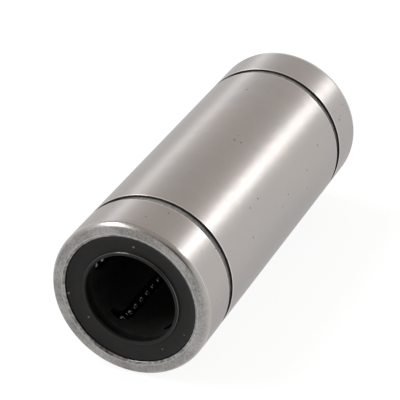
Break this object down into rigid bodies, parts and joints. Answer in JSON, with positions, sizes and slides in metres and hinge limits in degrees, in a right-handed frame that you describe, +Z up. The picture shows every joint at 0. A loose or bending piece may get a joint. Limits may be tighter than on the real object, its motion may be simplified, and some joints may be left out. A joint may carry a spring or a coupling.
{
  "type": "linear ball bushing",
  "caption": "Long closed linear ball bushing: ground steel sleeve with outer retaining-ring grooves, resin cages guiding recirculating ball circuits, and rubber wiper seals at its ends.",
  "frame": {"origin": "centre of the bushing, on its axis halfway along its length", "axes": "+Y along the axis from the front end to the rear end, +Z up, +X to the right seen from the front"},
  "size_m": [0.028, 0.07, 0.028],
  "materials": {
    "ground_steel": "ground bearing steel, bright, with turned end faces",
    "ball_steel": "polished bearing steel",
    "ring_steel": "dark spring steel",
    "cage_resin": "moulded black resin",
    "seal_rubber": "moulded black rubber, slightly glossy"
  },
  "bodies": {
    "sleeve": {"outer_sleeve": "ground_steel", "front_cage": "cage_resin", "rear_cage": "cage_resin", "front_stop_ring": "ring_steel", "rear_stop_ring": "ring_steel", "front_seal": "seal_rubber", "rear_seal": "seal_rubber"},
    "front_load_balls_1": {"front_load_balls_1": "ball_steel"},
    "front_return_balls_1": {"front_return_balls_1": "ball_steel"},
    "front_outer_turn_balls_1": {"front_outer_turn_balls_1": "ball_steel"},
    "front_inner_turn_balls_1": {"front_inner_turn_balls_1": "ball_steel"},
    "front_load_balls_2": {"front_load_balls_2": "ball_steel"},
    "front_return_balls_2": {"front_return_balls_2": "ball_steel"},
    "front_outer_turn_balls_2": {"front_outer_turn_balls_2": "ball_steel"},
    "front_inner_turn_balls_2": {"front_inner_turn_balls_2": "ball_steel"},
    "front_load_balls_3": {"front_load_balls_3": "ball_steel"},
    "front_return_balls_3": {"front_return_balls_3": "ball_steel"},
    "front_outer_turn_balls_3": {"front_outer_turn_balls_3": "ball_steel"},
    "front_inner_turn_balls_3": {"front_inner_turn_balls_3": "ball_steel"},
    "front_load_balls_4": {"front_load_balls_4": "ball_steel"},
    "front_return_balls_4": {"front_return_balls_4": "ball_steel"},
    "front_outer_turn_balls_4": {"front_outer_turn_balls_4": "ball_steel"},
    "front_inner_turn_balls_4": {"front_inner_turn_balls_4": "ball_steel"},
    "front_load_balls_5": {"front_load_balls_5": "ball_steel"},
    "front_return_balls_5": {"front_return_balls_5": "ball_steel"},
    "front_outer_turn_balls_5": {"front_outer_turn_balls_5": "ball_steel"},
    "front_inner_turn_balls_5": {"front_inner_turn_balls_5": "ball_steel"},
    "rear_load_balls_1": {"rear_load_balls_1": "ball_steel"},
    "rear_return_balls_1": {"rear_return_balls_1": "ball_steel"},
    "rear_outer_turn_balls_1": {"rear_outer_turn_balls_1": "ball_steel"},
    "rear_inner_turn_balls_1": {"rear_inner_turn_balls_1": "ball_steel"},
    "rear_load_balls_2": {"rear_load_balls_2": "ball_steel"},
    "rear_return_balls_2": {"rear_return_balls_2": "ball_steel"},
    "rear_outer_turn_balls_2": {"rear_outer_turn_balls_2": "ball_steel"},
    "rear_inner_turn_balls_2": {"rear_inner_turn_balls_2": "ball_steel"},
    "rear_load_balls_3": {"rear_load_balls_3": "ball_steel"},
    "rear_return_balls_3": {"rear_return_balls_3": "ball_steel"},
    "rear_outer_turn_balls_3": {"rear_outer_turn_balls_3": "ball_steel"},
    "rear_inner_turn_balls_3": {"rear_inner_turn_balls_3": "ball_steel"},
    "rear_load_balls_4": {"rear_load_balls_4": "ball_steel"},
    "rear_return_balls_4": {"rear_return_balls_4": "ball_steel"},
    "rear_outer_turn_balls_4": {"rear_outer_turn_balls_4": "ball_steel"},
    "rear_inner_turn_balls_4": {"rear_inner_turn_balls_4": "ball_steel"},
    "rear_load_balls_5": {"rear_load_balls_5": "ball_steel"},
    "rear_return_balls_5": {"rear_return_balls_5": "ball_steel"},
    "rear_outer_turn_balls_5": {"rear_outer_turn_balls_5": "ball_steel"},
    "rear_inner_turn_balls_5": {"rear_inner_turn_balls_5": "ball_steel"}
  },
  "joints": [
    {"name": "front_circuit_1", "type": "slide", "parent": "sleeve", "child": "front_load_balls_1", "axis": [0, 1, 0], "range_m": [-0.00117, 0.00117]},
    {"name": "front_return_1", "type": "slide", "parent": "sleeve", "child": "front_return_balls_1", "axis": [0, 1, 0], "range_m": [-0.0012, 0.0012]},
    {"name": "front_outer_turn_1", "type": "hinge", "parent": "sleeve", "child": "front_outer_turn_balls_1", "pos_m": [-0.00602, -0.02755, -0.00733], "axis": [-0.4226, 0, -0.9063], "range_deg": [-28.8, 28.8]},
    {"name": "front_inner_turn_1", "type": "hinge", "parent": "sleeve", "child": "front_inner_turn_balls_1", "pos_m": [-0.00602, -0.00865, -0.00733], "axis": [-0.4226, 0, -0.9063], "range_deg": [-28.8, 28.8]},
    {"name": "front_circuit_2", "type": "slide", "parent": "sleeve", "child": "front_load_balls_2", "axis": [0, 1, 0], "range_m": [-0.00117, 0.00117]},
    {"name": "front_return_2", "type": "slide", "parent": "sleeve", "child": "front_return_balls_2", "axis": [0, 1, 0], "range_m": [-0.0012, 0.0012]},
    {"name": "front_outer_turn_2", "type": "hinge", "parent": "sleeve", "child": "front_outer_turn_balls_2", "pos_m": [-0.00883, -0.02755, 0.00346], "axis": [-0.9925, 0, 0.1219], "range_deg": [-28.8, 28.8]},
    {"name": "front_inner_turn_2", "type": "hinge", "parent": "sleeve", "child": "front_inner_turn_balls_2", "pos_m": [-0.00883, -0.00865, 0.00346], "axis": [-0.9925, 0, 0.1219], "range_deg": [-28.8, 28.8]},
    {"name": "front_circuit_3", "type": "slide", "parent": "sleeve", "child": "front_load_balls_3", "axis": [0, 1, 0], "range_m": [-0.00117, 0.00117]},
    {"name": "front_return_3", "type": "slide", "parent": "sleeve", "child": "front_return_balls_3", "axis": [0, 1, 0], "range_m": [-0.0012, 0.0012]},
    {"name": "front_outer_turn_3", "type": "hinge", "parent": "sleeve", "child": "front_outer_turn_balls_3", "pos_m": [0.00056, -0.02755, 0.00947], "axis": [-0.1908, 0, 0.9816], "range_deg": [-28.8, 28.8]},
    {"name": "front_inner_turn_3", "type": "hinge", "parent": "sleeve", "child": "front_inner_turn_balls_3", "pos_m": [0.00056, -0.00865, 0.00947], "axis": [-0.1908, 0, 0.9816], "range_deg": [-28.8, 28.8]},
    {"name": "front_circuit_4", "type": "slide", "parent": "sleeve", "child": "front_load_balls_4", "axis": [0, 1, 0], "range_m": [-0.00117, 0.00117]},
    {"name": "front_return_4", "type": "slide", "parent": "sleeve", "child": "front_return_balls_4", "axis": [0, 1, 0], "range_m": [-0.0012, 0.0012]},
    {"name": "front_outer_turn_4", "type": "hinge", "parent": "sleeve", "child": "front_outer_turn_balls_4", "pos_m": [0.00918, -0.02755, 0.00239], "axis": [0.8746, 0, 0.4848], "range_deg": [-28.8, 28.8]},
    {"name": "front_inner_turn_4", "type": "hinge", "parent": "sleeve", "child": "front_inner_turn_balls_4", "pos_m": [0.00918, -0.00865, 0.00239], "axis": [0.8746, 0, 0.4848], "range_deg": [-28.8, 28.8]},
    {"name": "front_circuit_5", "type": "slide", "parent": "sleeve", "child": "front_load_balls_5", "axis": [0, 1, 0], "range_m": [-0.00117, 0.00117]},
    {"name": "front_return_5", "type": "slide", "parent": "sleeve", "child": "front_return_balls_5", "axis": [0, 1, 0], "range_m": [-0.0012, 0.0012]},
    {"name": "front_outer_turn_5", "type": "hinge", "parent": "sleeve", "child": "front_outer_turn_balls_5", "pos_m": [0.00511, -0.02755, -0.00799], "axis": [0.7314, 0, -0.682], "range_deg": [-28.8, 28.8]},
    {"name": "front_inner_turn_5", "type": "hinge", "parent": "sleeve", "child": "front_inner_turn_balls_5", "pos_m": [0.00511, -0.00865, -0.00799], "axis": [0.7314, 0, -0.682], "range_deg": [-28.8, 28.8]},
    {"name": "rear_circuit_1", "type": "slide", "parent": "sleeve", "child": "rear_load_balls_1", "axis": [0, 1, 0], "range_m": [-0.00117, 0.00117]},
    {"name": "rear_return_1", "type": "slide", "parent": "sleeve", "child": "rear_return_balls_1", "axis": [0, 1, 0], "range_m": [-0.0012, 0.0012]},
    {"name": "rear_outer_turn_1", "type": "hinge", "parent": "sleeve", "child": "rear_outer_turn_balls_1", "pos_m": [-0.00602, 0.02755, -0.00733], "axis": [-0.4226, 0, -0.9063], "range_deg": [-28.8, 28.8]},
    {"name": "rear_inner_turn_1", "type": "hinge", "parent": "sleeve", "child": "rear_inner_turn_balls_1", "pos_m": [-0.00602, 0.00865, -0.00733], "axis": [-0.4226, 0, -0.9063], "range_deg": [-28.8, 28.8]},
    {"name": "rear_circuit_2", "type": "slide", "parent": "sleeve", "child": "rear_load_balls_2", "axis": [0, 1, 0], "range_m": [-0.00117, 0.00117]},
    {"name": "rear_return_2", "type": "slide", "parent": "sleeve", "child": "rear_return_balls_2", "axis": [0, 1, 0], "range_m": [-0.0012, 0.0012]},
    {"name": "rear_outer_turn_2", "type": "hinge", "parent": "sleeve", "child": "rear_outer_turn_balls_2", "pos_m": [-0.00883, 0.02755, 0.00346], "axis": [-0.9925, 0, 0.1219], "range_deg": [-28.8, 28.8]},
    {"name": "rear_inner_turn_2", "type": "hinge", "parent": "sleeve", "child": "rear_inner_turn_balls_2", "pos_m": [-0.00883, 0.00865, 0.00346], "axis": [-0.9925, 0, 0.1219], "range_deg": [-28.8, 28.8]},
    {"name": "rear_circuit_3", "type": "slide", "parent": "sleeve", "child": "rear_load_balls_3", "axis": [0, 1, 0], "range_m": [-0.00117, 0.00117]},
    {"name": "rear_return_3", "type": "slide", "parent": "sleeve", "child": "rear_return_balls_3", "axis": [0, 1, 0], "range_m": [-0.0012, 0.0012]},
    {"name": "rear_outer_turn_3", "type": "hinge", "parent": "sleeve", "child": "rear_outer_turn_balls_3", "pos_m": [0.00056, 0.02755, 0.00947], "axis": [-0.1908, 0, 0.9816], "range_deg": [-28.8, 28.8]},
    {"name": "rear_inner_turn_3", "type": "hinge", "parent": "sleeve", "child": "rear_inner_turn_balls_3", "pos_m": [0.00056, 0.00865, 0.00947], "axis": [-0.1908, 0, 0.9816], "range_deg": [-28.8, 28.8]},
    {"name": "rear_circuit_4", "type": "slide", "parent": "sleeve", "child": "rear_load_balls_4", "axis": [0, 1, 0], "range_m": [-0.00117, 0.00117]},
    {"name": "rear_return_4", "type": "slide", "parent": "sleeve", "child": "rear_return_balls_4", "axis": [0, 1, 0], "range_m": [-0.0012, 0.0012]},
    {"name": "rear_outer_turn_4", "type": "hinge", "parent": "sleeve", "child": "rear_outer_turn_balls_4", "pos_m": [0.00918, 0.02755, 0.00239], "axis": [0.8746, 0, 0.4848], "range_deg": [-28.8, 28.8]},
    {"name": "rear_inner_turn_4", "type": "hinge", "parent": "sleeve", "child": "rear_inner_turn_balls_4", "pos_m": [0.00918, 0.00865, 0.00239], "axis": [0.8746, 0, 0.4848], "range_deg": [-28.8, 28.8]},
    {"name": "rear_circuit_5", "type": "slide", "parent": "sleeve", "child": "rear_load_balls_5", "axis": [0, 1, 0], "range_m": [-0.00117, 0.00117]},
    {"name": "rear_return_5", "type": "slide", "parent": "sleeve", "child": "rear_return_balls_5", "axis": [0, 1, 0], "range_m": [-0.0012, 0.0012]},
    {"name": "rear_outer_turn_5", "type": "hinge", "parent": "sleeve", "child": "rear_outer_turn_balls_5", "pos_m": [0.00511, 0.02755, -0.00799], "axis": [0.7314, 0, -0.682], "range_deg": [-28.8, 28.8]},
    {"name": "rear_inner_turn_5", "type": "hinge", "parent": "sleeve", "child": "rear_inner_turn_balls_5", "pos_m": [0.00511, 0.00865, -0.00799], "axis": [0.7314, 0, -0.682], "range_deg": [-28.8, 28.8]}
  ],
  "couplings": [
    {"joint": "front_return_1", "follows": "front_circuit_1", "ratio": -1},
    {"joint": "front_outer_turn_1", "follows": "front_circuit_1", "rad_per_m": -423.6},
    {"joint": "front_inner_turn_1", "follows": "front_circuit_1", "rad_per_m": -423.6},
    {"joint": "front_return_2", "follows": "front_circuit_2", "ratio": -1},
    {"joint": "front_outer_turn_2", "follows": "front_circuit_2", "rad_per_m": -423.6},
    {"joint": "front_inner_turn_2", "follows": "front_circuit_2", "rad_per_m": -423.6},
    {"joint": "front_return_3", "follows": "front_circuit_3", "ratio": -1},
    {"joint": "front_outer_turn_3", "follows": "front_circuit_3", "rad_per_m": -423.6},
    {"joint": "front_inner_turn_3", "follows": "front_circuit_3", "rad_per_m": -423.6},
    {"joint": "front_return_4", "follows": "front_circuit_4", "ratio": -1},
    {"joint": "front_outer_turn_4", "follows": "front_circuit_4", "rad_per_m": -423.6},
    {"joint": "front_inner_turn_4", "follows": "front_circuit_4", "rad_per_m": -423.6},
    {"joint": "front_return_5", "follows": "front_circuit_5", "ratio": -1},
    {"joint": "front_outer_turn_5", "follows": "front_circuit_5", "rad_per_m": -423.6},
    {"joint": "front_inner_turn_5", "follows": "front_circuit_5", "rad_per_m": -423.6},
    {"joint": "rear_return_1", "follows": "rear_circuit_1", "ratio": -1},
    {"joint": "rear_outer_turn_1", "follows": "rear_circuit_1", "rad_per_m": -423.6},
    {"joint": "rear_inner_turn_1", "follows": "rear_circuit_1", "rad_per_m": -423.6},
    {"joint": "rear_return_2", "follows": "rear_circuit_2", "ratio": -1},
    {"joint": "rear_outer_turn_2", "follows": "rear_circuit_2", "rad_per_m": -423.6},
    {"joint": "rear_inner_turn_2", "follows": "rear_circuit_2", "rad_per_m": -423.6},
    {"joint": "rear_return_3", "follows": "rear_circuit_3", "ratio": -1},
    {"joint": "rear_outer_turn_3", "follows": "rear_circuit_3", "rad_per_m": -423.6},
    {"joint": "rear_inner_turn_3", "follows": "rear_circuit_3", "rad_per_m": -423.6},
    {"joint": "rear_return_4", "follows": "rear_circuit_4", "ratio": -1},
    {"joint": "rear_outer_turn_4", "follows": "rear_circuit_4", "rad_per_m": -423.6},
    {"joint": "rear_inner_turn_4", "follows": "rear_circuit_4", "rad_per_m": -423.6},
    {"joint": "rear_return_5", "follows": "rear_circuit_5", "ratio": -1},
    {"joint": "rear_outer_turn_5", "follows": "rear_circuit_5", "rad_per_m": -423.6},
    {"joint": "rear_inner_turn_5", "follows": "rear_circuit_5", "rad_per_m": -423.6}
  ]
}
